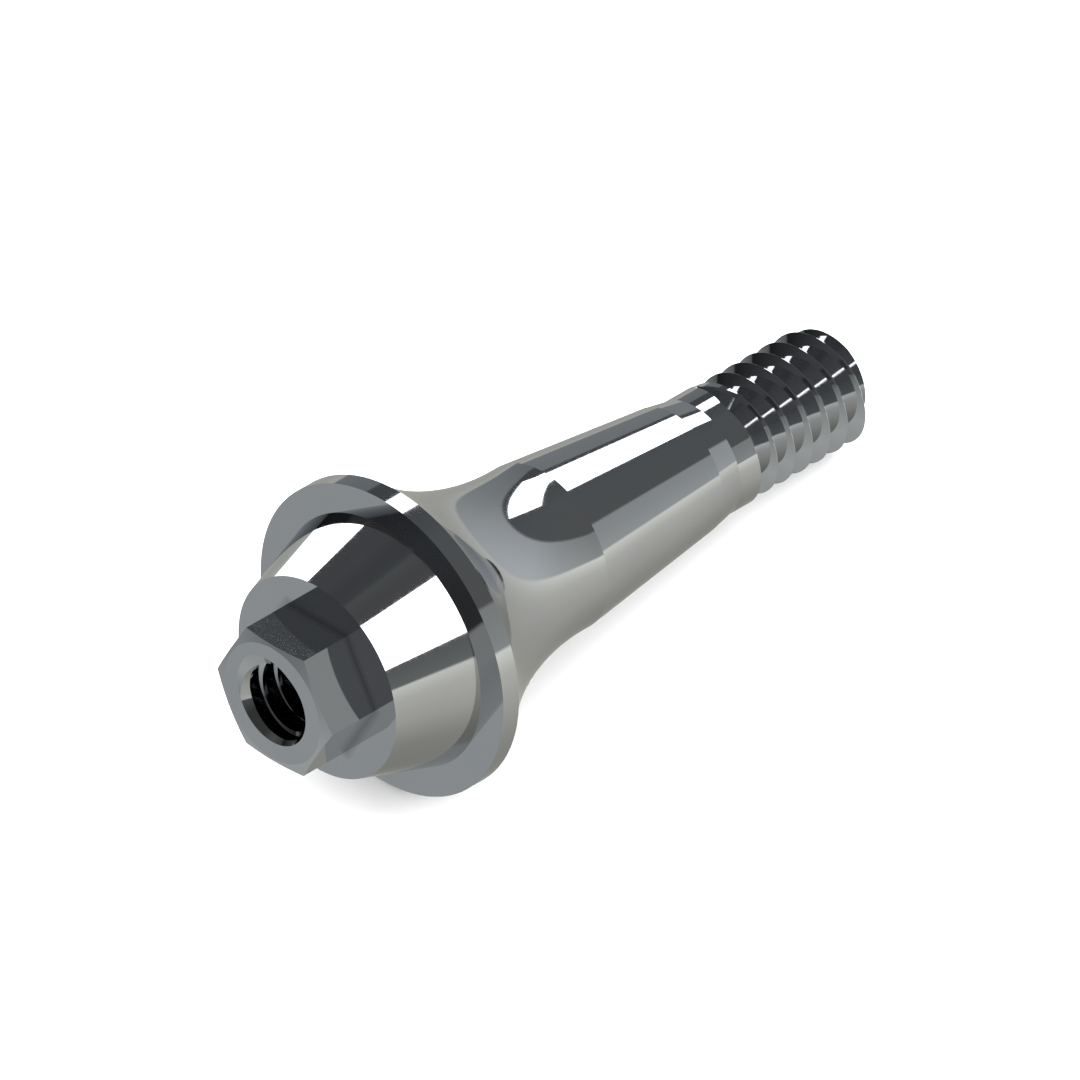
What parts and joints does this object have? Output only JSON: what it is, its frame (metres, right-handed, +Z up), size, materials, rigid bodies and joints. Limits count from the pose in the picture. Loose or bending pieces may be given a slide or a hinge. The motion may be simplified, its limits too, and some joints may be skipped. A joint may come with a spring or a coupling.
{
  "type": "dental abutment",
  "caption": "Straight one-piece dental abutment: hexagonal driver head with a threaded screw hole, seating cone, flange, flared waist, long taper and helical implant thread.",
  "frame": {"origin": "on the surface that the part lies on, under the middle of its bounding box", "axes": "+Z up, +X level along the part from its hexagonal head towards its thread, which dips by about ten degrees because the part lies on its flange and its thread's end"},
  "size_m": [0.0114, 0.0048, 0.0048],
  "materials": {
    "titanium": "bright turned and polished titanium alloy"
  },
  "bodies": {
    "root": {"abutment": "titanium"}
  },
  "joints": []
}
